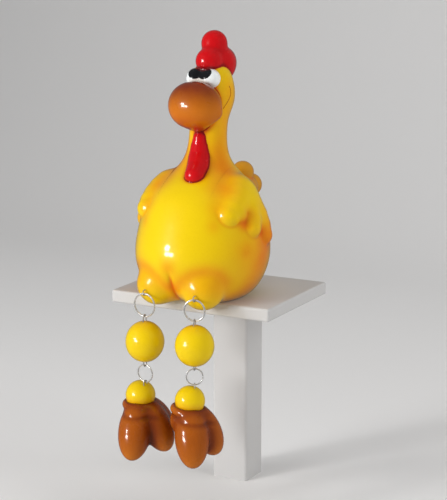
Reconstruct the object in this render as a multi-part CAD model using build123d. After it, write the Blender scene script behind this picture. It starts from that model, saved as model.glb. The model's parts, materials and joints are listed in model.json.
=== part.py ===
from build123d import *
import os
from math import cos, radians, sin

# A glazed ceramic hen that sits on the edge of a shelf, with two legs of balls and wire rings
# hanging in front of it. Millimetres. The origin is the centre of the flat seat, +Z is up,
# the hen faces -Y, and +X is the hen's own left.

# ---- Hollow body casting: (height, half width, half depth, centre's y) of its level sections
BODY_SECTIONS = [
    (0.0, 29.5, 31.0, 0.0),
    (2.0, 33.5, 35.5, 0.0),
    (7.0, 38.2, 41.0, 0.0),
    (18.0, 43.8, 47.2, 0.0),
    (32.0, 46.2, 50.2, 0.0),
    (46.0, 45.0, 48.6, 0.0),
    (60.0, 41.2, 43.6, 0.5),
    (73.0, 34.6, 36.0, 2.2),
    (84.0, 24.6, 25.4, 5.0),
    (93.0, 17.0, 17.4, 6.2),
    (103.0, 13.7, 13.9, 7.2),
    (116.0, 13.0, 13.2, 8.5),
    (128.0, 15.2, 15.4, 10.2),
    (138.0, 17.0, 17.2, 11.4),
    (147.0, 15.8, 16.0, 11.8),
    (155.0, 12.4, 12.4, 12.6),
    (159.0, 8.0, 8.0, 13.0),
    (160.5, 3.0, 3.0, 13.0),
]
WALL = 4.5
CAVITY_TOP = 155.0
VENT_RADIUS = 4.0
VENT_Y = 14.0

# ---- Thighs: two solid lumps at the front of the seat
LEG_X = 19.4
THIGH_CENTRE = (17.6, -32.0, 11.6)   # distance from the middle, y, z
THIGH_RADIUS = 14.5

# ---- Comb: three lobes in the middle plane and the fourth that joins them, as (y, z, radius)
COMB_LOBES = [(9.0, 162.0, 9.2), (17.0, 173.2, 9.0), (28.4, 157.0, 10.0), (20.0, 162.0, 8.8)]

# ---- Beak, eyes and pupils
BEAK_CENTRE = (-10.6, 132.8)         # y, z
BEAK_RADIUS = 15.8                   # of two balls side by side, which make it wider than high
BEAK_SPREAD = 2.8                    # of each ball from the middle plane
BEAK_CHIN = (-7.0, 122.0, 7.5)       # y, z and radius of the narrow lower end
EYE_CENTRE = (5.2, 0.8, 149.8)       # distance from the middle, y, z
EYE_RADIUS = 7.0
PUPIL_CENTRE = (3.8, -3.8, 155.0)
PUPIL_RADIUS = 4.4
PUPIL_PROUD = 0.35

# ---- Wattle: (height, half width, x) down the front of the neck, and how proud it stands.
# Its lower end hangs a little to the hen's left.
WATTLE_SECTIONS = [
    (118.0, 1.2, 0.0),
    (114.0, 3.6, 0.0),
    (105.0, 5.6, 0.0),
    (96.0, 7.0, 0.6),
    (89.0, 7.4, 1.8),
    (84.5, 5.4, 2.6),
    (82.5, 2.0, 2.8),
]
WATTLE_PROUD = 3.2
WATTLE_ROOT = 3.0

# ---- Tail: three lobes in the middle plane and the stem that carries them, as (y, z, radius)
TAIL_LOBES = [(60.0, 77.5, 7.8), (73.5, 66.0, 7.6), (70.0, 52.5, 7.2)]
TAIL_STEM = [(48.0, 62.0, 12.0), (60.0, 64.0, 9.5)]

# ---- Wings: each has a shoulder and three feathers lying on the body, given by the angle
# round from the front and the height of each feather's tip. FEATHER_PROUD is how far its
# outside stands off the body at each of its radii.
SHOULDER = (92.0, 77.0)
FEATHER_TIPS = [(55.0, 58.0), (82.0, 47.0), (103.0, 40.0)]
FEATHER_RADII = [6.5, 10.4, 10.4, 9.8, 8.8, 6.5]
FEATHER_PROUD = [2.0, 4.0, 5.2, 5.2, 5.2, 5.2]

# ---- Wire: eyelets are staples of fired-in wire, the legs are joined by open jump rings
EYELET_RADIUS = 1.8                  # of the wire's centreline
EYELET_WIRE = 0.4
EYELET_ROOT = 5.0                    # how deep its two legs are set in the clay
RING_CLEARANCE = 0.05
RING_GAP = 0.5
UPPER_RING_WIRE = 0.6
LOWER_RING_WIRE = 0.45

# ---- Legs, from the top down
LEG_Y = -47.4
UPPER_RING_TOP = 7.4                 # height of the wire's centre
KNEE_RADIUS = 13.4                   # of two balls, one above the other, run together
KNEE_HALF_HEIGHT = 14.3
ANKLE_RADIUS = 10.3
ANKLE_GAP = 1.6

# ---- Foot, from the ankle ball's centre
COLLAR = (9.4, 3.7, -7.4)            # torus radii and height
HUB = (11.5, -14.0)                  # radius and height
# Each toe's turn, its centre's distance, its angle below level, half length and radius
TOES = [
    (-70.0, 24.5, 60.0, 21.5, 11.6),
    (0.0, 23.4, 56.0, 19.5, 10.8),
    (58.0, 22.0, 56.0, 18.5, 10.5),
]

# The two legs are put together from rings that differ a little, and hang turned differently.
# KNEE_GAP is from the upper ring's lowest wire centre to the ball, and LOWER_RING_DROP from
# the ball's bottom to the lower ring's top wire. ANKLE_OFFSET is the ankle eyelet's distance
# from the ball's own axis, towards the toes. Turns are in degrees about the vertical.
SIDE = {"left": 1, "right": -1}
UPPER_RING_RADIUS = {"left": 7.2, "right": 7.9}
KNEE_GAP = {"left": 2.9, "right": 3.4}
LOWER_RING_DROP = {"left": 1.7, "right": 2.3}
LOWER_RING_RADIUS = {"left": 5.6, "right": 6.05}
UPPER_TURN = {"left": 12.0, "right": 0.0}
KNEE_TURN = {"left": 12.0, "right": 0.0}
LOWER_TURN = {"left": 30.0, "right": -6.0}
FOOT_TURN = {"left": 30.0, "right": -4.0}
ANKLE_OFFSET = {"left": 1.6, "right": 4.8}


def spheroid(half_length, radius):
    """An egg-like solid, longer than it is wide, round about the X axis."""
    half = EllipticalCenterArc((0, 0), half_length, radius, start_angle=0, arc_size=180)
    return revolve(make_face([half, Line(half @ 1, half @ 0)]), Axis.X)


def section_at(height):
    """The body's half width, half depth and centre's y at a height."""
    for low, high in zip(BODY_SECTIONS, BODY_SECTIONS[1:]):
        if height <= high[0]:
            share = (height - low[0]) / (high[0] - low[0])
            return [a + share * (b - a) for a, b in zip(low[1:], high[1:])]
    return BODY_SECTIONS[-1][1:]


def body_point(angle, height, inset):
    """A point on the body, at an angle round from the front, moved inwards by inset."""
    half_width, half_depth, centre_y = section_at(height)
    x = (half_width - inset) * sin(radians(angle))
    y = centre_y - (half_depth - inset) * cos(radians(angle))
    return Vector(x, y, height)


def body_loft(inset, low, high):
    """The body's outside, or with an inset its cavity, between two heights."""
    heights = [low] + [s[0] for s in BODY_SECTIONS if low < s[0] < high] + [high]
    faces = []
    for height in heights:
        half_width, half_depth, centre_y = section_at(height)
        plane = Plane((0, centre_y, height))
        faces.append(plane * Ellipse(half_width - inset, half_depth - inset))
    return loft(faces)


def body_solid():
    """The body without its cavity, thighs included."""
    body = body_loft(0, BODY_SECTIONS[0][0], BODY_SECTIONS[-1][0])
    for side in (-1, 1):
        x, y, z = THIGH_CENTRE
        body += Pos(side * x, y, z) * Sphere(THIGH_RADIUS)
    return body


def body_shell():
    vent = Pos(0, VENT_Y, WALL) * Cylinder(VENT_RADIUS, 4 * WALL)
    return body_solid() - body_loft(WALL, WALL, CAVITY_TOP) - vent


def lobes(places):
    """Rounded lobes side by side in the middle plane."""
    solid = None
    for y, z, radius in places:
        lobe = Pos(0, y, z) * Sphere(radius)
        solid = lobe if solid is None else solid + lobe
    return solid


def tube_through(points, radii, side):
    """A round tapering solid along a line of points."""
    faces = []
    for index, (point, radius) in enumerate(zip(points, radii)):
        before = points[max(index - 1, 0)]
        after = points[min(index + 1, len(points) - 1)]
        plane = Plane(origin=point, x_dir=side, z_dir=after - before)
        faces.append(plane * Circle(radius))
    return loft(faces)


def feather(tip):
    """One feather, bent round the body from the shoulder to its tip."""
    points = []
    steps = len(FEATHER_RADII) - 1
    for step, (radius, proud) in enumerate(zip(FEATHER_RADII, FEATHER_PROUD)):
        share = step / steps
        angle = SHOULDER[0] + share * (tip[0] - SHOULDER[0])
        height = SHOULDER[1] + share * (tip[1] - SHOULDER[1])
        points.append(body_point(angle, height, radius - proud))
    end = points[-1]
    outwards = body_point(tip[0], tip[1], 0) - Vector(0, 0, tip[1])
    solid = tube_through(points, FEATHER_RADII, outwards)
    return solid + Pos(*end) * Sphere(FEATHER_RADII[-1])


def wing():
    solid = None
    for tip in FEATHER_TIPS:
        solid = feather(tip) if solid is None else solid + feather(tip)
    return solid


def wattle():
    faces = []
    for height, half_width, x in WATTLE_SECTIONS:
        front = body_point(0, height, 0)
        plane = Plane((x, front.Y + (WATTLE_ROOT - WATTLE_PROUD) / 2, height))
        faces.append(plane * Ellipse(half_width, (WATTLE_ROOT + WATTLE_PROUD) / 2))
    return loft(faces)


def eye():
    """The hen's left eye: a ball cut off at the middle plane."""
    x, y, z = EYE_CENTRE
    return Pos(x, y, z) * Sphere(EYE_RADIUS) & Pos(50, 0, z) * Box(100, 100, 100)


def pupil():
    """A thin cap on the left eye, inside an upright oval that looks up at the comb."""
    x, y, z = EYE_CENTRE
    cap = Pos(x, y, z) * Sphere(EYE_RADIUS + PUPIL_PROUD)
    x, y, z = PUPIL_CENTRE
    oval = Pos(x, y, z) * Sphere(PUPIL_RADIUS)
    return cap & oval & Pos(50, 0, z) * Box(100, 100, 100)


def beak():
    y, z = BEAK_CENTRE
    chin_y, chin_z, chin_radius = BEAK_CHIN
    solid = Pos(0, chin_y, chin_z) * Sphere(chin_radius)
    for x in (-BEAK_SPREAD, BEAK_SPREAD):
        solid += Pos(x, y, z) * Sphere(BEAK_RADIUS)
    return solid


def eyelet(root):
    """A staple in the YZ plane with its bend at the bottom, about the bend's centre."""
    bend = CenterArc((0, 0), EYELET_RADIUS, 180, 180)
    left = Line((-EYELET_RADIUS, root), (-EYELET_RADIUS, 0))
    right = Line((EYELET_RADIUS, 0), (EYELET_RADIUS, root))
    path = Plane.YZ * Wire([left, bend, right])
    return sweep(Plane(path @ 0, z_dir=path % 0) * Circle(EYELET_WIRE), path=path)


def jump_ring(radius, wire):
    """An open ring in the XZ plane, with its small gap at the side."""
    ring = Rot(X=90) * Torus(radius, wire)
    return ring - Pos(radius, 0, 0) * Box(4 * wire, 4 * wire, RING_GAP)


def thigh_eyelet(side):
    rest = EYELET_RADIUS - EYELET_WIRE - UPPER_RING_WIRE - RING_CLEARANCE
    thigh_front = THIGH_CENTRE[1] - THIGH_RADIUS
    staple = Rot(X=-90) * eyelet(thigh_front - LEG_Y + EYELET_ROOT)
    return Pos(side * LEG_X, LEG_Y, UPPER_RING_TOP + rest) * staple


def foot():
    """The foot under its ankle ball, about the ball's centre."""
    solid = Pos(0, 0, HUB[1]) * Sphere(HUB[0])
    for turn, distance, droop, half_length, radius in TOES:
        toe = Pos(distance, 0, 0) * spheroid(half_length, radius)
        solid += Rot(Z=turn) * Rot(Y=droop) * toe
    solid += Pos(0, 0, COLLAR[2]) * Torus(COLLAR[0], COLLAR[1])
    return solid - Sphere(ANKLE_RADIUS)


def leg(name):
    """One leg's nodes, hanging straight down from the thigh's eyelet."""
    line = Pos(SIDE[name] * LEG_X, LEG_Y, 0)
    inner = EYELET_RADIUS - EYELET_WIRE - RING_CLEARANCE

    upper_radius = UPPER_RING_RADIUS[name]
    upper_bottom = UPPER_RING_TOP - 2 * upper_radius
    upper_ring = Rot(Z=UPPER_TURN[name]) * jump_ring(upper_radius, UPPER_RING_WIRE)

    knee_top = upper_bottom - KNEE_GAP[name]
    knee_centre = knee_top - KNEE_HALF_HEIGHT
    knee_bottom = knee_centre - KNEE_HALF_HEIGHT
    loop = upper_bottom - (inner - UPPER_RING_WIRE)
    top_staple = Pos(0, 0, loop) * Rot(X=180) * eyelet(loop - knee_top + EYELET_ROOT)

    lower_radius = LOWER_RING_RADIUS[name]
    lower_top = knee_bottom - LOWER_RING_DROP[name]
    loop = lower_top + (inner - LOWER_RING_WIRE)
    bottom_staple = Pos(0, 0, loop) * eyelet(knee_bottom - loop + EYELET_ROOT)
    lower_ring = Rot(Z=LOWER_TURN[name]) * jump_ring(lower_radius, LOWER_RING_WIRE)
    lower_bottom = lower_top - 2 * lower_radius

    turned = Rot(Z=FOOT_TURN[name])
    balance = (turned * (Sphere(ANKLE_RADIUS) + foot())).center(CenterOf.MASS)
    offset = ANKLE_OFFSET[name]
    across = Vector(balance.X, balance.Y, 0).normalized() * offset
    rise = (ANKLE_RADIUS ** 2 - offset ** 2) ** 0.5
    pivot = across + Vector(0, 0, rise + ANKLE_GAP)
    hang = balance - pivot
    lean = Axis(pivot, hang.cross(Vector(0, 0, -1)))
    angle = hang.get_angle(Vector(0, 0, -1))
    under = Pos(0, 0, lower_bottom) * Pos(*(-pivot))
    ankle_ball = under * Sphere(ANKLE_RADIUS).rotate(lean, angle)
    hanging_foot = under * (turned * foot()).rotate(lean, angle)
    ankle_top = lower_bottom - ANKLE_GAP
    loop = lower_bottom - (inner - LOWER_RING_WIRE)
    ankle_staple = Pos(0, 0, loop) * Rot(Z=LOWER_TURN[name]) * Rot(X=180)
    ankle_staple = ankle_staple * eyelet(loop - ankle_top + EYELET_ROOT)

    knee_staples = [Rot(Z=KNEE_TURN[name]) * top_staple, Rot(Z=KNEE_TURN[name]) * bottom_staple]
    rise = KNEE_HALF_HEIGHT - KNEE_RADIUS
    knee = Pos(0, 0, knee_centre + rise) * Sphere(KNEE_RADIUS)
    knee += Pos(0, 0, knee_centre - rise) * Sphere(KNEE_RADIUS)
    for staple in knee_staples:
        knee -= staple
    pieces = {
        "upper_ring": Pos(0, 0, UPPER_RING_TOP - upper_radius) * upper_ring,
        "knee_top_eyelet": knee_staples[0],
        "knee_ball": knee,
        "knee_bottom_eyelet": knee_staples[1],
        "lower_ring": Pos(0, 0, lower_top - lower_radius) * lower_ring,
        "ankle_eyelet": ankle_staple,
        "ankle_ball": ankle_ball - ankle_staple,
        "foot": hanging_foot,
    }
    return {f"{name}_{key}": line * piece for key, piece in pieces.items()}


def casting():
    """The nodes of the seated hen, each cut where the one under it ends."""
    shell = body_shell()
    eyelets = {}
    for name, side in SIDE.items():
        eyelets[f"{name}_thigh_eyelet"] = thigh_eyelet(side)
        shell -= thigh_eyelet(side)
    nodes = {
        "body_shell": shell,
        "comb": lobes(COMB_LOBES) - body_solid(),
        "beak": beak() - body_solid(),
        "wattle": wattle() - body_solid() - beak(),
        "tail": lobes(TAIL_LOBES + TAIL_STEM) - body_solid(),
        "left_wing": wing() - body_solid(),
        "left_eye": eye() - body_solid() - beak() - lobes(COMB_LOBES),
        "left_pupil": pupil() - eye() - beak() - lobes(COMB_LOBES),
    }
    for piece in ("wing", "eye", "pupil"):
        nodes[f"right_{piece}"] = mirror(nodes[f"left_{piece}"], about=Plane.YZ)
    return nodes | eyelets


def main():
    os.makedirs("parts", exist_ok=True)
    nodes = casting()
    for name in SIDE:
        nodes |= leg(name)
    for name, solid in nodes.items():
        export_step(solid, f"parts/{name}.step")


main()
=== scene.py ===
"""A glazed ceramic hen that sits on a shelf edge with dangling legs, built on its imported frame.

Shapes are worked out in millimetres as signed distances on a grid, joined with fillets, and
turned into meshes. Every mesh ends up in metres in the frame's own coordinates.
"""

import json
from math import atan2, cos, hypot, pi, radians, sin, sqrt

import bpy
import numpy as np
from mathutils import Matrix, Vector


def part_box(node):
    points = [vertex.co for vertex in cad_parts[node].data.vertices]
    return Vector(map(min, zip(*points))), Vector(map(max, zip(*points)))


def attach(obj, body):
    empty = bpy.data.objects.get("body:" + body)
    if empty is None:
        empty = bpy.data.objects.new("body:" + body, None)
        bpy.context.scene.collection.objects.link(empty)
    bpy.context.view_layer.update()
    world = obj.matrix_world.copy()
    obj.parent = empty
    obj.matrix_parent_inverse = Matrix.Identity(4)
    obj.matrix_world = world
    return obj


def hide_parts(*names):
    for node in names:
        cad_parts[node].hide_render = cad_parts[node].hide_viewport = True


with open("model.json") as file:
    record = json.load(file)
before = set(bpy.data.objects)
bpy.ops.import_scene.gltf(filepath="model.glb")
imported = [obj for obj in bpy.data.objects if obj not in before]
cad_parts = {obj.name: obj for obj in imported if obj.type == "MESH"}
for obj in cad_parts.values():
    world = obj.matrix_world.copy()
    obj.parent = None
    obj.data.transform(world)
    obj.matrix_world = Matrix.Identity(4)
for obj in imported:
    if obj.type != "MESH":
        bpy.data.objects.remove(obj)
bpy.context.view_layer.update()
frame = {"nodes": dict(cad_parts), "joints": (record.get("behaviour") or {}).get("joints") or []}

import openvdb
from mathutils import Matrix, Vector
from mathutils.bvhtree import BVHTree

MM = 0.001
COARSER = 1.0     # grids get wider, and quicker to mesh, above 1


# ---------------------------------------------------------------- shapes on a grid of points

SETTLING_ROUNDS = 4
SETTLING_SHARE = 0.6


class Grid:
    """Points on a regular grid, in millimetres, where a shape is given by signed distances."""

    def __init__(self, low, high, step):
        self.step = step * COARSER
        self.first = np.floor(np.array(low, float) / self.step)
        counts = np.ceil(np.array(high, float) / self.step) - self.first + 1
        lines = [(f + np.arange(int(n))) * self.step for f, n in zip(self.first, counts)]
        lines = [line.astype(np.float32) for line in lines]
        self.x, self.y, self.z = np.meshgrid(*lines, indexing="ij", sparse=True)

    def sample(self, field, points):
        """The field's value at any points, by its eight nearest grid points."""
        place = points / self.step - self.first
        cell = np.clip(np.floor(place).astype(int), 0, np.array(field.shape) - 2)
        share = np.clip(place - cell, 0, 1)
        value = np.zeros(len(points))
        for corner in np.ndindex(2, 2, 2):
            weight = np.prod(np.where(corner, share, 1 - share), axis=1)
            value += weight * field[tuple((cell + corner).T)]
        return value

    def slope(self, field, points):
        """The field's gradient at any points."""
        half = self.step / 2
        parts = []
        for axis in np.eye(3) * half:
            rise = self.sample(field, points + axis) - self.sample(field, points - axis)
            parts.append(rise / self.step)
        return np.stack(parts, axis=1)

    def surface(self, field):
        """Points and four-sided faces of the surface where the field is zero."""
        volume = openvdb.FloatGrid(3 * self.step)
        volume.copyFromArray(np.ascontiguousarray(field, np.float32))
        points, quads = volume.convertToQuads(0.0)
        points = (points.astype(float) + self.first) * self.step
        quads = quads.astype(int)
        return self.settle(field, points, quads), quads

    def settle(self, field, points, quads):
        """Evens out the points along the surface, and puts them back on it each time."""
        pairs = np.concatenate([quads[:, [i, (i + 1) % 4]] for i in range(4)])
        pairs = np.concatenate([pairs, pairs[:, ::-1]])
        degree = np.bincount(pairs[:, 0], minlength=len(points))[:, None]
        for _ in range(SETTLING_ROUNDS):
            total = [np.bincount(pairs[:, 0], points[pairs[:, 1], i], len(points)) for i in range(3)]
            mean = np.stack(total, axis=1) / degree
            points = points + SETTLING_SHARE * (mean - points)
            slope = self.slope(field, points)
            length = np.maximum((slope ** 2).sum(1), 0.1)
            points = points - slope * (self.sample(field, points) / length)[:, None]
        return points


def join(a, b, blend):
    """Two shapes as one, with a fillet about blend wide where they meet."""
    near = np.maximum(blend - np.abs(a - b), 0) / blend
    return np.minimum(a, b) - near ** 3 * blend / 6


def cut(a, b, blend=0.4):
    """A shape without another, with the edge softened."""
    return -join(-a, b, blend)


def ball(grid, middle, radius):
    x, y, z = middle
    return np.sqrt((grid.x - x) ** 2 + (grid.y - y) ** 2 + (grid.z - z) ** 2) - radius


def pair(grid, middle, radius, blend):
    """A ball on each side of the hen's middle, run together."""
    x, y, z = middle
    return join(ball(grid, (x, y, z), radius), ball(grid, (-x, y, z), radius), blend)


def egg(grid, middle, turn, sizes):
    """An ellipsoid with half lengths sizes along the columns of the rotation turn."""
    offsets = (grid.x - middle[0], grid.y - middle[1], grid.z - middle[2])
    inner = 0
    outer = 0
    for axis, size in zip(np.array(turn).T, sizes):
        along = sum(float(a) * o for a, o in zip(axis, offsets))
        inner = inner + (along / size) ** 2
        outer = outer + (along / size ** 2) ** 2
    inner = np.sqrt(inner)
    return inner * (inner - 1) / np.sqrt(outer + 1e-9)


def chain(grid, points, radii):
    """A round bar of changing radius along a line of points."""
    solid = None
    for a, b, ra, rb in zip(points, points[1:], radii, radii[1:]):
        run = b - a
        offsets = (grid.x - a[0], grid.y - a[1], grid.z - a[2])
        share = sum(float(r) * o for r, o in zip(run, offsets)) / float(run @ run)
        share = np.clip(share, 0, 1)
        gap = np.sqrt(sum((o - share * float(r)) ** 2 for r, o in zip(run, offsets)))
        gap = gap - (ra + share * (rb - ra))
        solid = gap if solid is None else np.minimum(solid, gap)
    return solid


def step_up(value, low, high):
    """0 below low, 1 above high, and a smooth rise between."""
    share = np.clip((value - low) / (high - low), 0, 1)
    return share * share * (3 - 2 * share)


def blurred(grid, field, reach):
    """How solid the surroundings are: the filled share of a soft ball of that reach."""
    filled = np.clip(0.5 - field / grid.step, 0, 1).astype(np.float32)
    steps = int(3 * reach / grid.step)
    weights = np.exp(-0.5 * (np.arange(-steps, steps + 1) * grid.step / reach) ** 2)
    weights /= weights.sum()
    for axis in range(3):
        padded = np.moveaxis(filled, axis, 0)
        total = np.zeros_like(padded)
        for shift, weight in zip(range(-steps, steps + 1), weights):
            first, last = max(shift, 0), min(shift, 0) or None
            source_first, source_last = max(-shift, 0), min(-shift, 0) or None
            total[first:last] += float(weight) * padded[source_first:source_last]
        filled = np.moveaxis(total, 0, axis)
    return filled


# ---------------------------------------------------------------- the hen's body, from the frame

# A place with three values is x, y and z. The comb and tail lie on the middle plane, so each of their
# lobes is y, z and radius.
FLATTER_BREAST = 2.4
BREAST_HEIGHT = 52.0
BREAST_REACH = 17.0
THIGH = (17.6, -32.0, 11.6)
THIGH_RADIUS = 14.5
THIGH_FILLET = 6.0
VENT_Y = 14.0
VENT_RADIUS = 4.0
VENT_DEPTH = 14.0
COMB_LOBES = [(9.2, 161.1, 9.5), (17.2, 172.8, 9.4), (27.8, 159.6, 10.4), (21.0, 160.0, 12.0)]
COMB_BACK = (23.5, 156.5, 11.2)
COMB_BLEND = 6.0
COMB_TRIM = 0.4
TAIL_LOBES = [(60.2, 77.2, 8.1), (72.6, 66.2, 8.4), (69.6, 52.8, 7.6)]
TAIL_STEM = [(48.0, 62.0, 11.5), (55.0, 64.5, 11.8), (62.5, 65.5, 10.0)]
TAIL_BLEND = 2.6
TAIL_FILLET = 4.0
BEAK_BALLS = (2.8, -10.6, 132.8)
BEAK_RADIUS = 15.8
BEAK_CHIN = (-7.0, 122.0, 7.5)           # y, z and radius
BEAK_CORNER = (14.6, -7.5, 128.0)
BEAK_CORNER_RADIUS = 3.4
EYE = (5.2, 0.8, 149.8)
EYE_RADIUS = 7.0
PUPIL = (3.9, -4.0, 154.5)
PUPIL_RADIUS = 4.8
PUPIL_PROUD = 0.25
# Down the wattle: height, half width, how far it stands out and how far it leans to the hen's left
WATTLE = [(116.0, 2.4, 2.4, 0.0), (110.0, 4.4, 3.4, 0.0), (103.0, 5.8, 3.6, 0.0), (96.5, 6.8, 4.0, 0.7),
          (90.5, 7.2, 4.8, 2.2), (86.0, 6.9, 5.8, 3.0)]
# The wings lie on the body's skin, so their places are an angle round from the front and a height
SHOULDER = (92.0, 77.0)
FEATHER_TIPS = [(57.0, 61.0), (81.0, 51.5), (101.0, 44.0)]
WEB_TIPS = [(68.0, 61.0), (91.0, 54.0)]
WEB_LOWER = 1.8
FEATHER_RADII = [6.5, 10.6, 11.0, 10.4, 9.4, 8.2]
FEATHER_PROUD = [2.0, 3.4, 4.0, 4.3, 4.4, 4.2]
FEATHER_FILLET = 3.0


def measured_profile():
    """Heights, half widths, half depths and middles of the CAD body's level sections."""
    mesh = frame["nodes"]["body_shell"].data
    tree = BVHTree.FromPolygons([v.co for v in mesh.vertices], [p.vertices for p in mesh.polygons])
    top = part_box("body_shell")[1].z / MM
    heights = np.arange(0.3, top - 0.3, 0.7)
    rows = []
    for z in heights:
        front = tree.ray_cast(Vector((0, -1, z * MM)), Vector((0, 1, 0)))[0].y / MM
        back = tree.ray_cast(Vector((0, 1, z * MM)), Vector((0, -1, 0)))[0].y / MM
        middle = (front + back) / 2
        side = tree.ray_cast(Vector((1, middle * MM, z * MM)), Vector((-1, 0, 0)))[0].x / MM
        rows.append((side, (back - front) / 2, middle))
    return heights, np.array(rows)


def smooth_profile():
    """The measured sections without the facets of the CAD mesh, run on past both ends."""
    heights, rows = measured_profile()
    fine = np.arange(-12.0, heights[-1] + 12.0, 0.25)
    result = []
    for values in (rows[:, 0] ** 2, rows[:, 1] ** 2, rows[:, 2]):
        inside = np.interp(fine, heights, values)
        low_slope = (values[3] - values[0]) / (heights[3] - heights[0])
        high_slope = (values[-1] - values[-4]) / (heights[-1] - heights[-4])
        inside += low_slope * np.minimum(fine - heights[0], 0)
        inside += high_slope * np.maximum(fine - heights[-1], 0)
        reach = np.arange(-24, 25)
        weights = np.exp(-0.5 * (reach / 8.0) ** 2)
        padded = np.pad(inside, 24, mode="reflect", reflect_type="odd")
        result.append(np.convolve(padded, weights / weights.sum(), mode="valid"))
    return fine, result


HEIGHTS, (WIDTH_SQUARED, DEPTH_SQUARED, MIDDLE) = smooth_profile()


def section(height):
    """Squared half width, squared half depth and middle of the body at a height."""
    return [np.interp(height, HEIGHTS, v) for v in (WIDTH_SQUARED, DEPTH_SQUARED, MIDDLE)]


def skin_point(angle, height, inset=0.0):
    """A point on the body, at an angle round from the front, moved inwards by inset."""
    width, depth, middle = section(height)
    turn = radians(angle)
    return np.array([(sqrt(width) - inset) * sin(turn),
                     middle - (sqrt(depth) - inset) * cos(turn), height])


def torso(grid):
    """The body, neck and head, without the thighs."""
    width, depth, middle = [v.astype(np.float32) for v in section(grid.z)]
    breast = np.exp(-((grid.z - BREAST_HEIGHT) / BREAST_REACH) ** 2) * step_up(-grid.y, 0, 30)
    middle = middle + FLATTER_BREAST * breast
    ratio = np.clip(width / np.maximum(depth, 1.0), 0.3, 3.0)
    level = grid.x ** 2 + ratio * (grid.y - middle) ** 2 - width
    slope = np.sqrt(sum(g ** 2 for g in np.gradient(level, grid.step)))
    solid = np.clip(level / np.maximum(slope, 1.0), -20, 40)
    return -join(-solid, grid.z, 1.6)


def body(grid):
    """The torso with its two thighs, and the crease between them."""
    solid = torso(grid)
    x, y, z = THIGH
    thighs = np.minimum(ball(grid, (x, y, z), THIGH_RADIUS), ball(grid, (-x, y, z), THIGH_RADIUS))
    solid = join(solid, thighs, THIGH_FILLET)
    front = step_up(-grid.y, 20.0, 34.0)
    up = step_up(grid.z, -6.0, 2.0) * (1 - step_up(grid.z, 16.0, 30.0))
    crease = 1.5 * np.exp(-(grid.x / 1.5) ** 2) + 1.2 * np.exp(-(grid.x / 5.0) ** 2)
    return solid + crease * front * up


def wing(grid, side):
    """One wing's three feathers and what joins them. side is 1 for the hen's left."""
    solid = None
    for tip, lower in [(t, 0) for t in FEATHER_TIPS] + [(t, WEB_LOWER) for t in WEB_TIPS]:
        points = []
        for step, (radius, proud) in enumerate(zip(FEATHER_RADII, FEATHER_PROUD)):
            share = step / (len(FEATHER_RADII) - 1)
            angle = SHOULDER[0] + share * (tip[0] - SHOULDER[0])
            height = SHOULDER[1] + share * (tip[1] - SHOULDER[1])
            points.append(skin_point(side * angle, height, radius - (proud - lower * share)))
        feather = chain(grid, points, FEATHER_RADII)
        solid = feather if solid is None else join(solid, feather, FEATHER_FILLET)
    return solid


def wing_fillet(grid):
    """The wings flow into the body at the shoulder and stand clear of it at their tips."""
    return 2.0 + 7.5 * step_up(grid.z, 58.0, 76.0)


def lobes(grid, places, blend):
    """Balls on the middle plane, run together."""
    solid = None
    for y, z, radius in places:
        lobe = ball(grid, (0, y, z), radius)
        solid = lobe if solid is None else join(solid, lobe, blend)
    return solid


def comb(grid):
    """One thick comb with three soft lobes, fullest where its back sits on the head."""
    solid = lobes(grid, COMB_LOBES, COMB_BLEND) + COMB_TRIM
    y, z, radius = COMB_BACK
    return join(solid, ball(grid, (0, y, z), radius), 5.0)


def tail(grid):
    return lobes(grid, TAIL_LOBES + TAIL_STEM, TAIL_BLEND)


def beak(grid):
    """Two big balls run together, with a small corner in each cheek and a narrow chin."""
    solid = pair(grid, BEAK_BALLS, BEAK_RADIUS, 4.0)
    x, y, z = BEAK_CORNER
    for side in (-1, 1):
        solid = join(solid, ball(grid, (side * x, y, z), BEAK_CORNER_RADIUS), 6.0)
    y, z, radius = BEAK_CHIN
    return join(solid, ball(grid, (0, y, z), radius), 5.0)


def eyes(grid):
    return pair(grid, EYE, EYE_RADIUS, 5.0)


def pupils(grid):
    """Two black spots run together, as thin as paint on the eyes."""
    x, y, z = PUPIL
    between = ball(grid, (0, y, z + 3.2), PUPIL_RADIUS - 0.6)
    spot = join(pair(grid, PUPIL, PUPIL_RADIUS, 4.0), between, 2.0)
    return cut(spot, PUPIL_PROUD - eyes(grid), 0.3)


def wattle(grid):
    """A drop that lies on the front of the neck and leans to one side."""
    points = []
    radii = []
    for height, half_width, proud, x in WATTLE:
        radius = (half_width ** 2 + proud ** 2) / (2 * proud)
        points.append(skin_point(0, height, radius - proud) + (x, 0, 0))
        radii.append(radius)
    return chain(grid, points, radii)


def attached(feature, host, blend):
    """A feature and its fillet as a closed solid that ends just under the host's skin."""
    united = join(feature, host, blend) + 0.02
    return np.maximum(np.maximum(united, -(host + 1.6)), feature - blend - 0.4)


# ---------------------------------------------------------------- pieces

def add_mesh(name, points, faces, values):
    """A smooth mesh in metres from points in millimetres, with named values on its points."""
    mesh = bpy.data.meshes.new(name)
    mesh.from_pydata((points * MM).tolist(), [], faces.tolist())
    mesh.polygons.foreach_set("use_smooth", np.ones(len(faces), bool))
    for key, value in values.items():
        attribute = mesh.attributes.new(key, "FLOAT", "POINT")
        attribute.data.foreach_set("value", np.clip(value, 0, 1).astype(np.float32))
    piece = bpy.data.objects.new(name, mesh)
    bpy.context.scene.collection.objects.link(piece)
    return piece


def finish_piece(piece, rides, nodes, material):
    piece.data.materials.append(material)
    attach(piece, rides)
    if nodes:
        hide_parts(*nodes)


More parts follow.
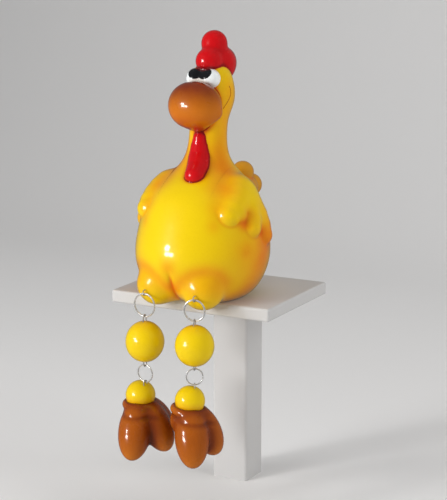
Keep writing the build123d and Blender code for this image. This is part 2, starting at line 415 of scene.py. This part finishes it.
def wire(name, points, radius, rides, nodes, material):
    """A round wire through points in millimetres, its ends cut square."""
    curve = bpy.data.curves.new(name, "CURVE")
    curve.dimensions = "3D"
    curve.bevel_depth = radius * MM
    curve.bevel_resolution = 4
    curve.use_fill_caps = True
    line = curve.splines.new("POLY")
    line.points.add(len(points) - 1)
    for knot, point in zip(line.points, points):
        knot.co = (*(Vector(point) * MM), 1)
    holder = bpy.data.objects.new(name + "_line", curve)
    bpy.context.scene.collection.objects.link(holder)
    bpy.context.view_layer.update()
    mesh = bpy.data.meshes.new_from_object(holder)
    bpy.data.objects.remove(holder)
    mesh.name = name
    mesh.polygons.foreach_set("use_smooth", np.ones(len(mesh.polygons), bool))
    mesh.materials.clear()
    piece = bpy.data.objects.new(name, mesh)
    bpy.context.scene.collection.objects.link(piece)
    finish_piece(piece, rides, nodes, material)


class Surroundings:
    """The whole hen on a coarse grid, to find its hollows, where colour gathers and shade is painted."""

    def __init__(self, low, high, step, shape):
        self.grid = Grid(low, high, step)
        whole = shape(self.grid)
        self.close = blurred(self.grid, whole, 2.4)
        self.wide = blurred(self.grid, whole, 6.5)

    def values(self, points):
        """crease is high in tight hollows, hollow in broad ones, and edge on sharp bumps."""
        close = self.grid.sample(self.close, points)
        wide = self.grid.sample(self.wide, points)
        return {
            "crease": step_up(close, 0.49, 0.66),
            "hollow": step_up(wide, 0.45, 0.66),
            "edge": 1 - step_up(close, 0.24, 0.40),
        }


def spots(points, places):
    """Soft spots of colour: each place is a point, its reach and its strength."""
    total = np.zeros(len(points))
    for centre, reach, strength in places:
        gap = ((points - centre) ** 2).sum(1) / reach ** 2
        total = 1 - (1 - total) * (1 - strength * np.exp(-gap))
    return total


# ---------------------------------------------------------------- materials

class Nodes:
    """A short way to add and link a material's nodes."""

    def __init__(self, name):
        self.material = bpy.data.materials.new(name)
        self.material.use_nodes = True
        self.tree = self.material.node_tree
        self.shader = self.tree.nodes["Principled BSDF"]

    def add(self, kind, **inputs):
        node = self.tree.nodes.new(kind)
        for key, value in inputs.items():
            self.put(node, key, value)
        return node

    def put(self, node, key, value):
        socket = node.inputs[key.replace("_", " ")]
        if isinstance(value, bpy.types.NodeSocket):
            self.tree.links.new(value, socket)
        else:
            socket.default_value = value

    def noise(self, scale, detail=2.0, roughness=0.5):
        place = self.add("ShaderNodeTexCoord").outputs["Object"]
        node = self.add("ShaderNodeTexNoise", Vector=place, Scale=scale, Detail=detail,
                        Roughness=roughness)
        return node.outputs["Fac"]

    def value(self, name):
        node = self.add("ShaderNodeAttribute")
        node.attribute_name = name
        return node.outputs["Fac"]

    def math(self, operation, a, b=0.0):
        node = self.add("ShaderNodeMath")
        node.operation = operation
        for index, value in enumerate((a, b)):
            if isinstance(value, bpy.types.NodeSocket):
                self.tree.links.new(value, node.inputs[index])
            else:
                node.inputs[index].default_value = value
        return node.outputs[0]

    def between(self, value, low, high):
        """A value moved from 0..1 to low..high."""
        return self.math("ADD", self.math("MULTIPLY", value, high - low), low)

    def mix(self, share, a, b):
        node = self.add("ShaderNodeMix")
        node.data_type = "RGBA"
        for key, value in (("Factor_Float", share), ("A_Color", a), ("B_Color", b)):
            socket = next(s for s in node.inputs if s.identifier == key)
            if isinstance(value, bpy.types.NodeSocket):
                self.tree.links.new(value, socket)
            else:
                socket.default_value = value
        return next(s for s in node.outputs if s.identifier == "Result_Color")

    def bump(self, height, distance):
        node = self.add("ShaderNodeBump", Height=height, Distance=distance, Strength=1.0)
        return node.outputs["Normal"]


def glaze(name, base, spray_and_shade, deep, light, rough=0.3):
    """Ceramic glaze over airbrushed colour and painted shade.

    base turns to the second colour where the mesh says shade, which stands for airbrushed colour and
    also for painted shade in hollows; to deep in its creases, which is painted shade and pooled glaze;
    and to light on its edges, all of it broken up the way an airbrush and a pooling glaze leave it.
    """
    nodes = Nodes(name)
    cloud = nodes.noise(60.0, 3.0, 0.55)
    speck = nodes.noise(900.0, 2.0, 0.6)
    shade = nodes.math("MULTIPLY", nodes.value("shade"), nodes.between(cloud, 0.72, 1.28))
    shade = nodes.math("MINIMUM", shade, 1.0)
    crease = nodes.math("MULTIPLY", nodes.value("crease"), nodes.between(speck, 0.82, 1.12))
    crease = nodes.math("MINIMUM", crease, 1.0)
    colour = nodes.mix(shade, base, spray_and_shade)
    colour = nodes.mix(nodes.math("MULTIPLY", nodes.value("edge"), 0.5), colour, light)
    colour = nodes.mix(crease, colour, deep)
    grain = nodes.math("MULTIPLY", nodes.between(speck, -1.0, 1.0), 0.10)
    darker = [c * 0.55 for c in deep[:3]] + [1.0]
    colour = nodes.mix(nodes.math("MAXIMUM", grain, 0.0), colour, darker)
    ripple = nodes.noise(260.0, 1.0)
    height = nodes.math("ADD", ripple, nodes.math("MULTIPLY", speck, 0.10))
    height = nodes.math("ADD", height, nodes.math("MULTIPLY", cloud, 4.0))
    shader = nodes.shader
    nodes.put(shader, "Base_Color", colour)
    nodes.put(shader, "Roughness", nodes.between(cloud, rough - 0.06, rough + 0.08))
    nodes.put(shader, "Normal", nodes.bump(height, 0.00005))
    shader.inputs["Specular IOR Level"].default_value = 0.15
    shader.inputs["Coat Weight"].default_value = 0.85
    shader.inputs["Coat Roughness"].default_value = 0.035
    shader.inputs["Coat IOR"].default_value = 1.42
    return nodes.material


def wire_metal(name, colour, rough):
    """Bright drawn wire, dulled in patches."""
    nodes = Nodes(name)
    patch = nodes.noise(700.0, 3.0, 0.6)
    drawn = nodes.noise(4200.0, 1.0)
    dull = [c * 0.62 for c in colour[:3]] + [1.0]
    nodes.put(nodes.shader, "Base_Color", nodes.mix(nodes.between(patch, 0.0, 0.7), colour, dull))
    nodes.put(nodes.shader, "Roughness", nodes.between(patch, rough - 0.06, rough + 0.16))
    nodes.put(nodes.shader, "Normal", nodes.bump(drawn, 0.00001))
    nodes.shader.inputs["Metallic"].default_value = 0.6
    return nodes.material


def plain_stage(name, colour, rough):
    nodes = Nodes(name)
    nodes.put(nodes.shader, "Base_Color", colour)
    nodes.put(nodes.shader, "Roughness", rough)
    return nodes.material


YELLOW = glaze("yellow_glaze", (0.86, 0.60, 0.003, 1), (0.80, 0.20, 0.0015, 1),
               (0.66, 0.10, 0.0015, 1), (0.93, 0.72, 0.02, 1))
ORANGE_YELLOW = glaze("knee_glaze", (0.84, 0.58, 0.003, 1), (0.83, 0.36, 0.002, 1),
                      (0.62, 0.20, 0.002, 1), (0.9, 0.68, 0.01, 1))
RED = glaze("red_glaze", (0.60, 0.003, 0.006, 1), (0.47, 0.002, 0.004, 1),
            (0.20, 0.001, 0.003, 1), (0.75, 0.03, 0.04, 1), 0.24)
BROWN = glaze("brown_glaze", (0.45, 0.115, 0.006, 1), (0.27, 0.047, 0.004, 1),
              (0.11, 0.018, 0.003, 1), (0.62, 0.20, 0.02, 1), 0.26)
BEAK = glaze("beak_glaze", (0.60, 0.17, 0.006, 1), (0.22, 0.032, 0.007, 1),
             (0.36, 0.018, 0.002, 1), (0.70, 0.26, 0.03, 1), 0.28)
TAN = glaze("tan_glaze", (0.60, 0.27, 0.014, 1), (0.62, 0.16, 0.003, 1),
            (0.62, 0.06, 0.002, 1), (0.70, 0.42, 0.07, 1))
WHITE = glaze("white_glaze", (0.93, 0.97, 0.96, 1), (0.70, 0.66, 0.50, 1),
              (0.45, 0.36, 0.22, 1), (0.86, 0.88, 0.86, 1), 0.22)
BLACK = glaze("black_glaze", (0.006, 0.007, 0.009, 1), (0.01, 0.011, 0.013, 1),
              (0.004, 0.004, 0.005, 1), (0.02, 0.021, 0.024, 1), 0.2)
BRIGHT_WIRE = wire_metal("bright_wire", (0.86, 0.85, 0.83, 1), 0.2)
DULL_WIRE = wire_metal("dull_wire", (0.55, 0.54, 0.52, 1), 0.3)


# ---------------------------------------------------------------- the seated hen

def whole_hen(grid):
    """All of the hen but its loose legs, to tell how deep in a hollow a point lies."""
    solid = body(grid)
    solid = join(solid, np.minimum(wing(grid, 1), wing(grid, -1)), wing_fillet(grid))
    solid = join(solid, tail(grid), TAIL_FILLET)
    for feature in (comb(grid), beak(grid), eyes(grid), wattle(grid)):
        solid = join(solid, feature, 1.0)
    return solid


HEN = Surroundings((-58, -60, -12), (58, 90, 192), 1.0, whole_hen)

# The smile line, as angles round from the front and heights
SMILE = [(64.0, 130.0), (68.2, 132.0), (75.7, 135.0), (82.5, 138.4), (84.0, 141.0), (82.6, 143.4),
         (79.6, 145.0)]
SMILE_WIDTH = 0.34

# Where orange is airbrushed on both sides of the body, the last three spots, on the head's sides and
# back, partly painted shade: angle from the front, height, reach, strength
SIDE_SPRAY_AND_SHADE = [
    (66, 90, 13, 0.8), (52, 78, 11, 0.65), (44, 66, 7, 0.4), (40, 56, 5, 0.35),
    (97, 36, 13, 0.98), (90, 24, 13, 0.75), (84, 8, 14, 0.65), (60, 3, 12, 0.5),
    (110, 44, 8, 0.8), (70, 38, 7, 0.5), (130, 20, 16, 0.5), (150, 45, 20, 0.35),
    (74, 30, 26, 0.35), (69, 55, 4.5, 0.9), (91, 48, 4.5, 0.9), (100, 62, 9, 0.35), (62, 100, 9, 0.4),
    (76, 60, 6, 0.6), (102, 47, 9, 0.95), (85, 140, 13, 0.45), (92, 122, 13, 0.5), (95, 106, 12, 0.5),
]
# A place in space, its reach and its strength
CHIN_SPRAY = (np.array([0, -14.0, 118.0]), 11.5, 0.98)
# The same as the two-sided spots above, for spots that have no twin on the other side
MIDDLE_SPRAY = [(0, 27, 6, 0.55), (26, 14, 10, 0.25), (-26, 14, 10, 0.15), (0, 12, 5, 0.9),
                (0, 3, 7, 0.7), (180, 20, 20, 0.4), (40, 14, 9, 0.4), (-40, 14, 9, 0.4)]


def body_spray_and_shade(points):
    """How much orange the airbrush left at each point of the body and wings, with painted shade among it.
    """
    places = []
    for angle, height, reach, strength in SIDE_SPRAY_AND_SHADE:
        places.append((skin_point(angle, height), reach, strength))
        places.append((skin_point(-angle, height), reach, strength))
    for angle, height, reach, strength in MIDDLE_SPRAY:
        places.append((skin_point(angle, height), reach, strength))
    return spots(points, places)


def thigh_fold(points):
    """Orange along the fold over each thigh, airbrushed and also painted shade, and airbrushed thinly on
    the thigh itself.
    """
    offsets = np.abs(points * (1, 0, 0)) + points * (0, 1, 1) - THIGH
    gap = np.sqrt((offsets ** 2).sum(1)) - THIGH_RADIUS
    front = step_up(points[:, 2], 2, 16) * step_up(-points[:, 1], 18, 34)
    band = 0.55 * np.exp(-((gap - 4.0) / 4.2) ** 2)
    return np.maximum(band, 0.26 * step_up(-gap, -4, 2)) * front


def hen_piece(name, field_of, low, high, step, nodes, material, shade_of):
    """A piece of the hen's one casting, meshed from its own field between two corners."""
    grid = Grid(low, high, step)
    points, quads = grid.surface(field_of(grid))
    around = HEN.values(points)
    values = shade_of(points, around)
    values["edge"] = values.get("edge", around["edge"])
    piece = add_mesh(name, points, quads, values)
    finish_piece(piece, "hen", nodes, material)


def yellow_values(points, around):
    # The orange here is airbrushed and also painted shade in broad hollows, in the folds over the thighs
    # and in some spots; the deep colour in creases is painted shade and pooled glaze.
    bare = (1 - body_spray_and_shade(points)) * (1 - 0.8 * around["hollow"] ** 2) * (1 - thigh_fold(points))
    shade = 1 - bare
    return {"shade": shade, "crease": 0.85 * around["crease"] ** 1.4, "edge": 0 * shade}


# In the values below, hollow and crease darken the colour in the piece's hollows and creases: painted
# shade, with pooled glaze in the creases.
def red_values(points, around):
    return {"shade": around["hollow"], "crease": around["crease"], "edge": 0.6 * around["edge"]}


def beak_values(points, around):
    """Darker towards the top, and red under the chin."""
    top = step_up(points[:, 2] - BEAK_BALLS[2], -5.0, 15.0)
    chin = spots(points, [CHIN_SPRAY])
    return {"shade": top, "crease": 1 - (1 - chin) * (1 - around["crease"])}


def plain_values(points, around):
    return {"shade": around["hollow"], "crease": around["crease"]}


def tan_values(points, around):
    return {"shade": around["hollow"], "crease": 0.9 * around["crease"]}


def white_values(points, around):
    return {"shade": 0.3 * around["hollow"], "crease": 0.35 * around["crease"]}


def vented_body(grid):
    """The body with the mouth of its firing vent. Its cavity is never seen."""
    vent = np.sqrt(grid.x ** 2 + (grid.y - VENT_Y) ** 2) - VENT_RADIUS
    return cut(body(grid), np.maximum(vent, grid.z - VENT_DEPTH), 0.8)


def attached_wing(side):
    return lambda grid: attached(wing(grid, side), body(grid), wing_fillet(grid))


def attached_tail(grid):
    return attached(tail(grid), body(grid), TAIL_FILLET)


def attached_comb(grid):
    return attached(comb(grid), body(grid), 1.2)


def attached_beak(grid):
    return attached(beak(grid), body(grid), 1.4)


def attached_wattle(grid):
    return cut(attached(wattle(grid), body(grid), 0.8), beak(grid) + 0.05, 0.1)


def shown_eyes(grid):
    shown = attached(eyes(grid), body(grid), 0.6)
    for cover in (beak(grid), comb(grid)):
        shown = cut(shown, cover + 0.05, 0.1)
    return shown


def shown_pupils(grid):
    shown = pupils(grid)
    for cover in (beak(grid), comb(grid), eyes(grid) + 0.6):
        shown = cut(shown, cover, 0.1)
    return shown


def build_hen():
    hen_piece("hen_body", vented_body, (-50, -55, -6), (50, 55, 164), 0.9, ["body_shell"],
              YELLOW, yellow_values)
    hen_piece("left_wing_feathers", attached_wing(1), (20, -40, 28), (56, 40, 92), 0.7, ["left_wing"],
              YELLOW, yellow_values)
    hen_piece("right_wing_feathers", attached_wing(-1), (-56, -40, 28), (-20, 40, 92), 0.7,
              ["right_wing"], YELLOW, yellow_values)
    hen_piece("tail_lobes", attached_tail, (-14, 30, 40), (14, 84, 88), 0.6, ["tail"],
              TAN, tan_values)
    hen_piece("comb_lobes", attached_comb, (-13, -2, 142), (13, 42, 186), 0.5, ["comb"],
              RED, red_values)
    hen_piece("beak_bulb", attached_beak, (-21, -29, 112), (21, 14, 152), 0.5, ["beak"],
              BEAK, beak_values)
    hen_piece("wattle_drop", attached_wattle, (-10, -32, 76), (15, 6, 122), 0.4, ["wattle"],
              RED, red_values)
    hen_piece("eye_whites", shown_eyes, (-14, -8, 140), (14, 12, 160), 0.35, ["left_eye", "right_eye"],
              WHITE, white_values)
    hen_piece("painted_pupils", shown_pupils, (-10, -10, 148), (10, 4, 162), 0.25,
              ["left_pupil", "right_pupil"], BLACK, plain_values)


def build_smile(name, side):
    """The thin line from a corner of the beak across the cheek to a small hook."""
    steps = np.linspace(0, 1, 25)
    knots = np.linspace(0, 1, len(SMILE))
    angles = np.interp(steps, knots, [a for a, z in SMILE])
    heights = np.interp(steps, knots, [z for a, z in SMILE])
    points = [skin_point(side * a, z, 0.12) for a, z in zip(angles, heights)]
    for _ in range(3):
        inner = [(a + b * 2 + c) / 4 for a, b, c in zip(points, points[1:], points[2:])]
        points = [points[0]] + inner + [points[-1]]
    wire(name, points, SMILE_WIDTH, "hen", [], BROWN)


# ---------------------------------------------------------------- legs

# A foot is worked out about the centre of its ankle ball
COLLAR_HEIGHT = -6.8
COLLAR_RADIUS = 9.6
COLLAR_THICKNESS = 2.9
HUB_HEIGHT = -14.0
HUB_RADIUS = 11.5
# Each toe's turn to the side, distance out, droop, half length and radius
TOES = [(-70.0, 24.5, 60.0, 21.5, 11.6), (0.0, 23.4, 56.0, 19.5, 10.8), (58.0, 22.0, 56.0, 18.5, 10.5)]
TOE_FILLET = 5.0
WRINKLE_HEIGHT = -11.2
WRINKLE_DEPTH = 0.8
FOOT_TURN = {"left": 30.0, "right": -4.0}
ANKLE_OFFSET = {"left": 1.6, "right": 4.8}
ANKLE_GAP = 1.6
PARTING_GAP = 0.5
PARTING_DRIFT = 0.08
RING_STEPS = 72
EYELETS = ("thigh_eyelet", "knee_top_eyelet", "knee_bottom_eyelet", "ankle_eyelet")
JOINTS = {j["name"]: j for j in frame["joints"]}


def pivot(joint):
    return Vector(JOINTS[joint]["pos_m"]) / MM


def centre(node):
    low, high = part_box(node)
    return (low + high) / 2 / MM


def ankle_radius(side):
    low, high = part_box(f"{side}_ankle_ball")
    return (high.x - low.x) / 2 / MM


def foot_turn(side):
    """The rotation of a foot that hangs with its weight under its pivot, from where its ball is."""
    reach = pivot(f"{side}_ankle_swing") - centre(f"{side}_ankle_ball")
    offset = ANKLE_OFFSET[side]
    upright = atan2(offset, sqrt(ankle_radius(side) ** 2 - offset ** 2) + ANKLE_GAP)
    leaning = atan2(hypot(reach.x, reach.y), reach.z)
    axis = Vector((-reach.y, reach.x, 0))
    lean = Matrix.Rotation(leaning - upright, 3, axis)
    return lean @ Matrix.Rotation(radians(FOOT_TURN[side]), 3, "Z")


def foot(grid):
    """The foot about its ankle ball's centre, its middle toe along X."""
    solid = ball(grid, (0, 0, HUB_HEIGHT), HUB_RADIUS)
    for turn, distance, droop, half_length, radius in TOES:
        way = Matrix.Rotation(radians(turn), 3, "Z") @ Matrix.Rotation(radians(droop), 3, "Y")
        toe = egg(grid, way @ Vector((distance, 0, 0)), way, (half_length, radius, radius))
        solid = join(solid, toe, TOE_FILLET)
    off_ring = np.sqrt(grid.x ** 2 + grid.y ** 2) - COLLAR_RADIUS
    collar = np.sqrt(off_ring ** 2 + (grid.z - COLLAR_HEIGHT) ** 2) - COLLAR_THICKNESS
    solid = join(solid, collar, 2.0)
    first_toe = radians(TOES[0][0])
    forwards = cos(first_toe) * grid.x + sin(first_toe) * grid.y
    across = np.exp(-((grid.z - WRINKLE_HEIGHT) / 1.6) ** 2)
    return solid + WRINKLE_DEPTH * across * step_up(forwards, 6, 14)


def local_piece(name, grid, field, turn, place, values_of):
    """A piece worked out about the origin, then turned and put in place."""
    points, quads = grid.surface(field)
    values = values_of(points)
    points = points @ np.array(turn).T + np.array(place)
    return add_mesh(name, points, quads, values)


def knee_field(grid, half):
    """A pressed ball, a little uneven, dimpled where its two wires go in."""
    solid = egg(grid, (0, 0, 0), Matrix.Identity(3), half)
    uneven = 0.12 * np.sin(grid.x / 5.1 + 1.0) * np.sin(grid.y / 4.3) * np.cos(grid.z / 6.0)
    solid = solid + uneven
    for end in (-1, 1):
        dimple = ball(grid, (0, 0, end * half[2]), 2.3)
        solid = -join(-solid, dimple + 1.5, 1.4)
    return solid


def build_knee(side):
    low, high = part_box(f"{side}_knee_ball")
    half = np.array(high - low) / 2 / MM
    grid = Grid(-half - 2, half + 2, 0.6)
    field = knee_field(grid, half)

    def values(points):
        low_side = step_up(-points[:, 2], 4.0, 14.0)
        top = step_up(points[:, 2], 8.0, 15.0)
        pole = np.exp(-(points[:, 0] ** 2 + points[:, 1] ** 2) / 9.0)
        return {"shade": 0.25 * low_side + 0.3 * top, "crease": 0.5 * pole}

    piece = local_piece(f"{side}_knee", grid, field, Matrix.Identity(3),
                        centre(f"{side}_knee_ball"), values)
    finish_piece(piece, f"{side}_knee", [f"{side}_knee_ball"], ORANGE_YELLOW)


def build_foot(side):
    turn = foot_turn(side)
    place = centre(f"{side}_ankle_ball")
    radius = ankle_radius(side)
    grid = Grid((-24, -36, -46), (38, 34, 14), 0.6)
    ankle = ball(grid, (0, 0, 0), radius)
    shape = foot(grid)
    whole = np.minimum(shape, ankle)
    close = blurred(grid, whole, 2.0)
    wide = blurred(grid, whole, 5.0)

    def toe_values(points):
        # Darker in the hollows between the toes and in their creases: painted shade.
        near = grid.sample(close, points)
        far = grid.sample(wide, points)
        crease = step_up(near, 0.48, 0.64)
        crease = np.maximum(crease, 0.75 * step_up(near, 0.36, 0.6) * step_up(far, 0.36, 0.5))
        return {"shade": step_up(far, 0.28, 0.50), "crease": crease,
                "edge": 1 - step_up(far, 0.22, 0.36)}

    field = cut(shape, ankle + 0.05, 0.5)
    piece = local_piece(f"{side}_foot_toes", grid, field, turn, place, toe_values)
    finish_piece(piece, f"{side}_foot", [f"{side}_foot"], BROWN)

    def ball_values(points):
        return {"shade": step_up(-points[:, 2], -3.0, 7.0), "crease": 0.6 * step_up(-points[:, 2], 2, 7)}

    grid = Grid([-radius - 2] * 3, [radius + 2] * 3, 0.5)
    piece = local_piece(f"{side}_ankle", grid, ball(grid, (0, 0, 0), radius), turn, place, ball_values)
    finish_piece(piece, f"{side}_foot", [f"{side}_ankle_ball"], ORANGE_YELLOW)


def build_ring(side, which, upper_joint, lower_joint):
    """An open jump ring in the plane of its joints' axis, with its ends a hair out of line."""
    node = f"{side}_{which}_ring"
    low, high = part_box(node)
    axis = Vector(JOINTS[upper_joint]["axis"])
    along = Vector((abs(axis.x), axis.y if axis.x > 0 else -axis.y, 0))
    up = Vector((0, 0, 1))
    top = pivot(upper_joint)
    radius = (top.z - pivot(lower_joint).z) / 2
    thickness = (high.z - low.z) / MM / 2 - radius
    middle = Vector((top.x, top.y, centre(node).z))
    gap = PARTING_GAP / 2 / radius
    points = []
    for step in range(RING_STEPS + 1):
        share = step / RING_STEPS
        angle = gap + (2 * pi - 2 * gap) * share
        drift = PARTING_DRIFT * (share - 0.5) * along.cross(up)
        points.append(middle + radius * (along * cos(angle) + up * sin(angle)) + drift)
    wire(f"{side}_{which}_jump_ring", points, thickness, node, [node], BRIGHT_WIRE)


def build_leg(side):
    build_ring(side, "upper", f"{side}_hip_swing", f"{side}_knee_swing")
    build_ring(side, "lower", f"{side}_lower_ring_swing", f"{side}_ankle_swing")
    build_knee(side)
    build_foot(side)
    for eyelet in EYELETS:
        for place in frame["nodes"][f"{side}_{eyelet}"].material_slots:
            place.material = DULL_WIRE


build_hen()
build_smile("left_smile_line", 1)
build_smile("right_smile_line", -1)
for SIDE in ("left", "right"):
    build_leg(SIDE)


# ---------------------------------------------------------------- stage, light and camera

def add_stage(name, low, high, bevel, material):
    """A block with rounded edges, from corners in millimetres."""
    mesh = bpy.data.meshes.new(name)
    corners = [(x, y, z) for x in (low[0], high[0]) for y in (low[1], high[1]) for z in (low[2], high[2])]
    faces = [(0, 1, 3, 2), (4, 6, 7, 5), (0, 4, 5, 1), (2, 3, 7, 6), (0, 2, 6, 4), (1, 5, 7, 3)]
    mesh.from_pydata([Vector(c) * MM for c in corners], [], faces)
    block = bpy.data.objects.new(name, mesh)
    bpy.context.scene.collection.objects.link(block)
    rounding = block.modifiers.new("rounding", "BEVEL")
    rounding.width = bevel * MM
    rounding.segments = 4
    mesh.materials.append(material)
    block.visible_glossy = False


def add_sweep(name, material):
    """A floor that curves up into the wall behind."""
    profile = [(-3.0, -0.15), (0.7, -0.15)]
    for step in range(1, 17):
        turn = pi / 2 * step / 16
        profile.append((0.7 + 0.8 * sin(turn), 0.65 - 0.8 * cos(turn)))
    profile.append((1.5, 3.0))
    points = [(x, y, z) for y, z in profile for x in (-3.5, 3.5)]
    faces = [(i, i + 1, i + 3, i + 2) for i in range(0, len(points) - 2, 2)]
    mesh = bpy.data.meshes.new(name)
    mesh.from_pydata(points, [], faces)
    mesh.polygons.foreach_set("use_smooth", np.ones(len(faces), bool))
    mesh.materials.append(material)
    sweep = bpy.data.objects.new(name, mesh)
    bpy.context.scene.collection.objects.link(sweep)
    sweep.visible_glossy = False


LIT_POINT = Vector((0, 0, 0.03))


def add_light(name, direction, distance, size, power, mirrored):
    """An area light on the middle of the hen, mirrored in the glaze only if it is a window pane."""
    data = bpy.data.lights.new(name, "AREA")
    data.shape = "RECTANGLE"
    data.size, data.size_y = size
    data.energy = power
    lamp = bpy.data.objects.new(name, data)
    way = Vector(direction).normalized()
    lamp.location = LIT_POINT + way * distance
    lamp.rotation_euler = (-way).to_track_quat("-Z", "Y").to_euler()
    lamp.visible_glossy = mirrored
    lamp.visible_camera = False
    bpy.context.scene.collection.objects.link(lamp)


def build_stage():
    """A pale room, and a shelf edge for the hen to sit on."""
    pale = plain_stage("pale_stage", (0.83, 0.82, 0.81, 1), 0.7)
    matt = plain_stage("shelf_paint", (0.58, 0.57, 0.56, 1), 0.6)
    add_sweep("floor", pale)
    add_stage("shelf", (-62, -21.5, -9), (62, 72, 0), 1.5, matt)
    add_stage("shelf_post", (-14, 40, -152), (14, 66, -8), 2, matt)


AZIMUTH = radians(28)
ELEVATION = radians(12)
TO_CAMERA = Vector((sin(AZIMUTH) * cos(ELEVATION), -cos(AZIMUTH) * cos(ELEVATION), sin(ELEVATION)))
RIGHT = Vector((cos(AZIMUTH), sin(AZIMUTH), 0))
UP = TO_CAMERA.cross(RIGHT)
CAMERA_DISTANCE = 1.1
CAMERA_LENS = 113.1
CAMERA_RIGHT = 0.01435
CAMERA_UP = 0.0301


def build_camera():
    data = bpy.data.cameras.new("camera")
    data.sensor_width = 36
    data.lens = CAMERA_LENS
    camera = bpy.data.objects.new("camera", data)
    camera.location = TO_CAMERA * CAMERA_DISTANCE + RIGHT * CAMERA_RIGHT + UP * CAMERA_UP
    camera.rotation_euler = TO_CAMERA.to_track_quat("Z", "Y").to_euler()
    bpy.context.scene.collection.objects.link(camera)
    bpy.context.scene.camera = camera


def build_light():
    world = bpy.data.worlds.new("studio")
    world.use_nodes = True
    background = world.node_tree.nodes["Background"]
    background.inputs["Color"].default_value = (0.95, 0.97, 1.0, 1)
    background.inputs["Strength"].default_value = 0.14
    bpy.context.scene.world = world
    add_light("upper_pane", (-0.51, -0.83, 0.26), 1.3, (0.20, 0.15), 4.2, True)
    add_light("lower_pane", (-0.43, -0.89, 0.10), 1.3, (0.40, 0.17), 6.5, True)
    add_light("sky", (-0.75, -0.75, 0.55), 1.6, (1.1, 1.1), 8.2, False)
    add_light("room", TO_CAMERA * 0.5 + RIGHT * 0.9 + UP * 0.35, 1.7, (1.4, 1.4), 15.0, False)
    add_light("top", (0.1, 0.1, 1.0), 1.6, (1.4, 1.4), 7.0, False)
    bpy.context.scene.view_settings.view_transform = "Standard"


build_stage()
build_camera()
build_light()
